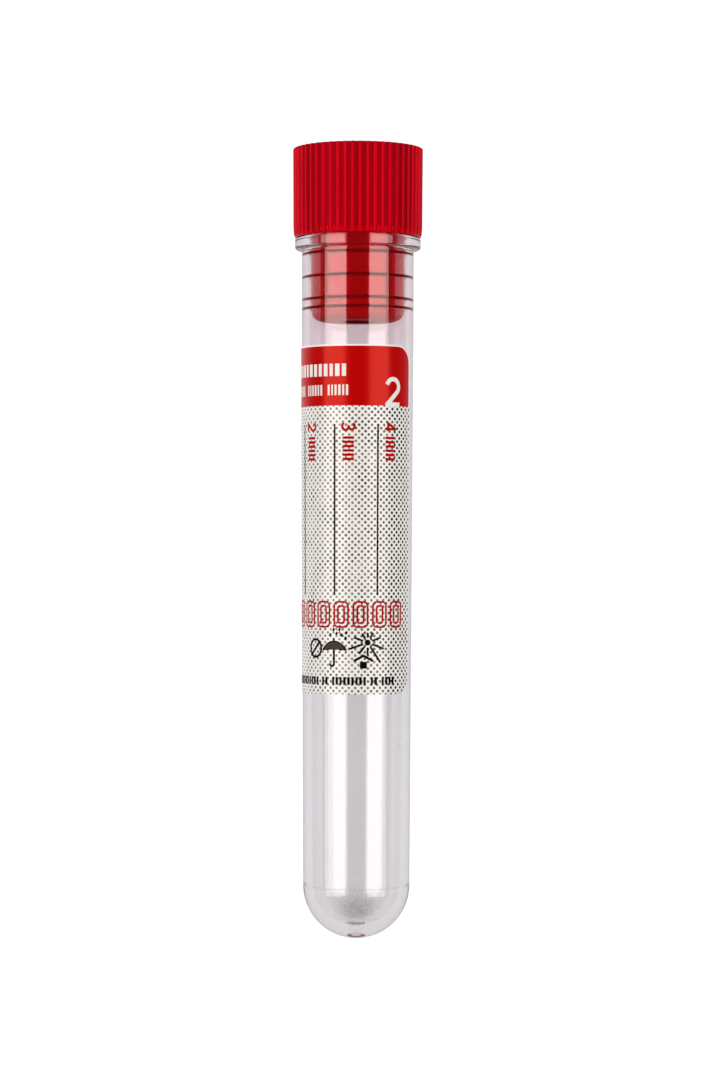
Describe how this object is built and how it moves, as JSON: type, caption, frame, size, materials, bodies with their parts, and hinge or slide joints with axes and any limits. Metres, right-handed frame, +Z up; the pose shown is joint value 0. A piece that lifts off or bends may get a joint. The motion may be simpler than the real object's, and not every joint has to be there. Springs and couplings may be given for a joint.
{
  "type": "blood collection tube",
  "caption": "Clear round-bottomed tube with a rim flange, a wrapped printed label and a ribbed red push-in stopper that pulls straight out.",
  "frame": {"origin": "on the surface it lies on, midway along its length, under the tube's axis", "axes": "+Z up from the surface; +Y along the tube towards the stopper, whose axis rises 1.0 degree from +Y; +X to the right of someone who looks down on the label with the stopper away from them"},
  "size_m": [0.0186, 0.113, 0.0187],
  "materials": {
    "clear_wall": "clear, polished",
    "red_moulding": "satin, moulded",
    "label_paper": "matt, printed with fine grey dots",
    "red_print": "satin print",
    "black_print": "satin print"
  },
  "bodies": {
    "tube": {"tube": "clear_wall", "label": "label_paper", "label_header": "red_print", "label_rules": "black_print", "label_boxes": "red_print"},
    "stopper": {"stopper": "red_moulding"}
  },
  "joints": [
    {"name": "stopper_pull", "type": "slide", "parent": "tube", "child": "stopper", "axis": [0, 0.9998, 0.0174], "range_m": [0, 0.016]}
  ]
}
